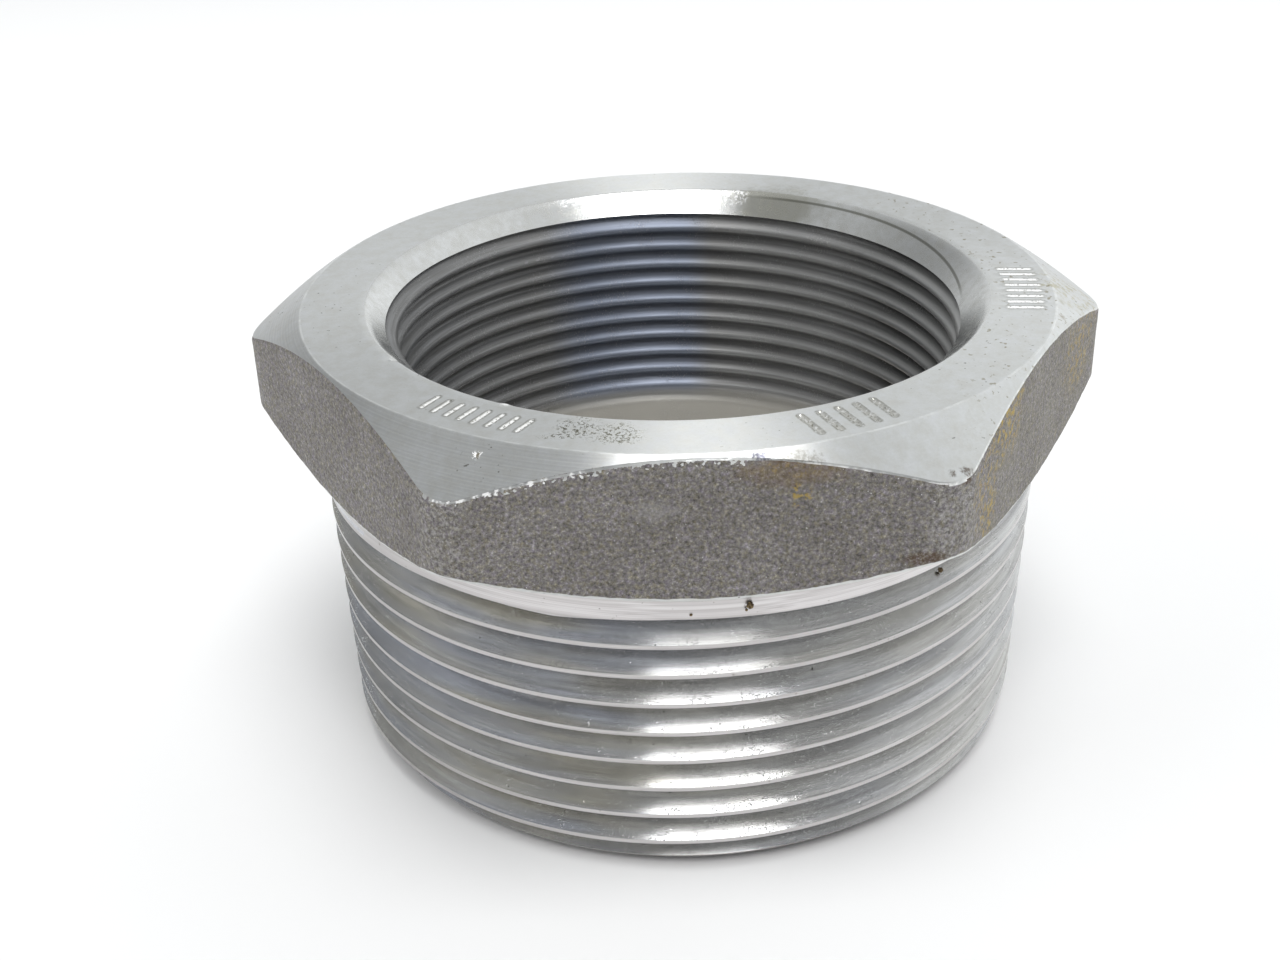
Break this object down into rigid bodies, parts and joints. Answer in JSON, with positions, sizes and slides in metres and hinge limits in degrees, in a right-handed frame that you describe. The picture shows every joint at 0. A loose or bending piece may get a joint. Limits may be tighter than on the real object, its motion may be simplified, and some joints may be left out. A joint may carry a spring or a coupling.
{
  "type": "hex reducing bushing",
  "caption": "Hexagon-head steel pipe bushing: male taper thread outside, smaller female taper thread through its middle.",
  "frame": {"origin": "centre of the small end face, on the pipe axis", "axes": "+Z along the pipe axis from the small end to the hexagon head; two hexagon flats face -Y and +Y, two corners are on X"},
  "size_m": [0.0866, 0.0762, 0.0454],
  "materials": {
    "steel": "bare machined steel with a dark grainy forged skin on the hexagon flats"
  },
  "bodies": {
    "root": {"bushing_body": "steel"}
  },
  "joints": []
}
